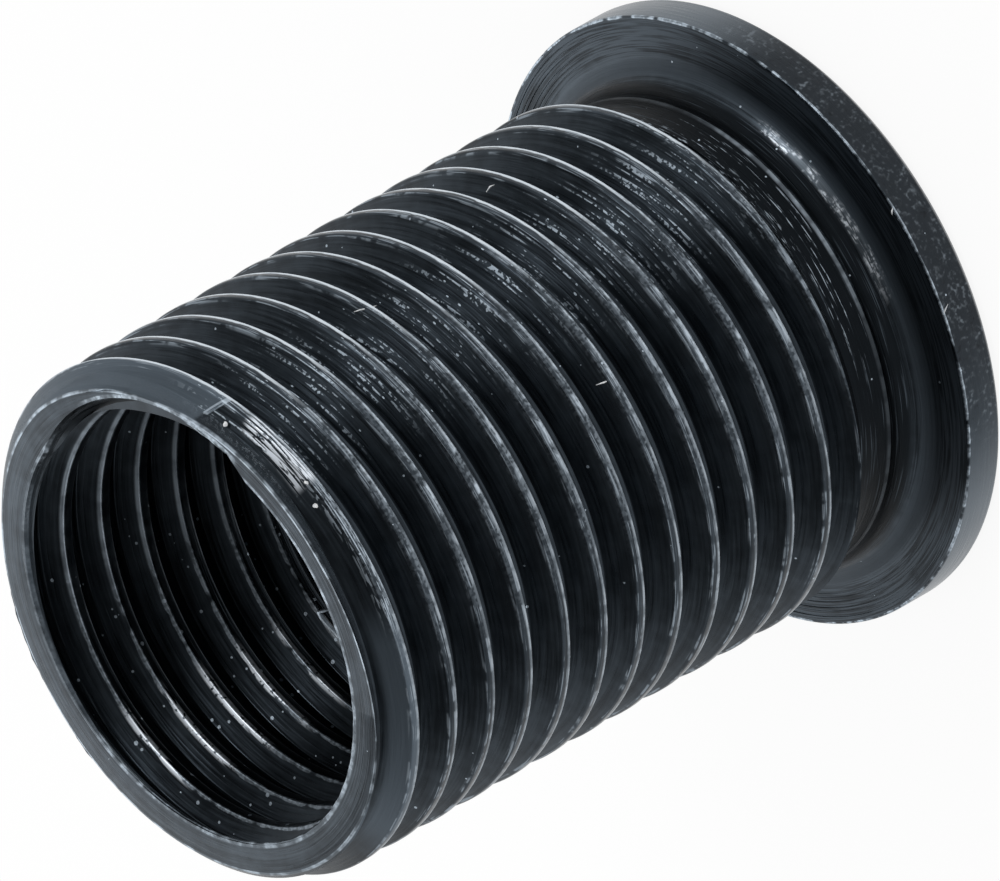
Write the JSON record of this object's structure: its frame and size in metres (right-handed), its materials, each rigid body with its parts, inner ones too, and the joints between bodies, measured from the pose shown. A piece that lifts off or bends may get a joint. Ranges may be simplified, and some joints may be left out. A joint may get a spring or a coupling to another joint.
{
  "type": "threaded insert",
  "caption": "Flanged thin-wall threaded insert: a round bushing with a fine right-hand thread outside and inside, and a flat flange at one end.",
  "frame": {"origin": "centre of the flange's flat outer face, which the insert stands on", "axes": "+Z along the insert's axis, from the flange to the threaded end"},
  "size_m": [0.0159, 0.0158, 0.0194],
  "materials": {
    "black_oxide_steel": "black oxide over turned steel, satin, with bright edges where it has rubbed"
  },
  "bodies": {
    "root": {"threaded_insert": "black_oxide_steel"}
  },
  "joints": []
}
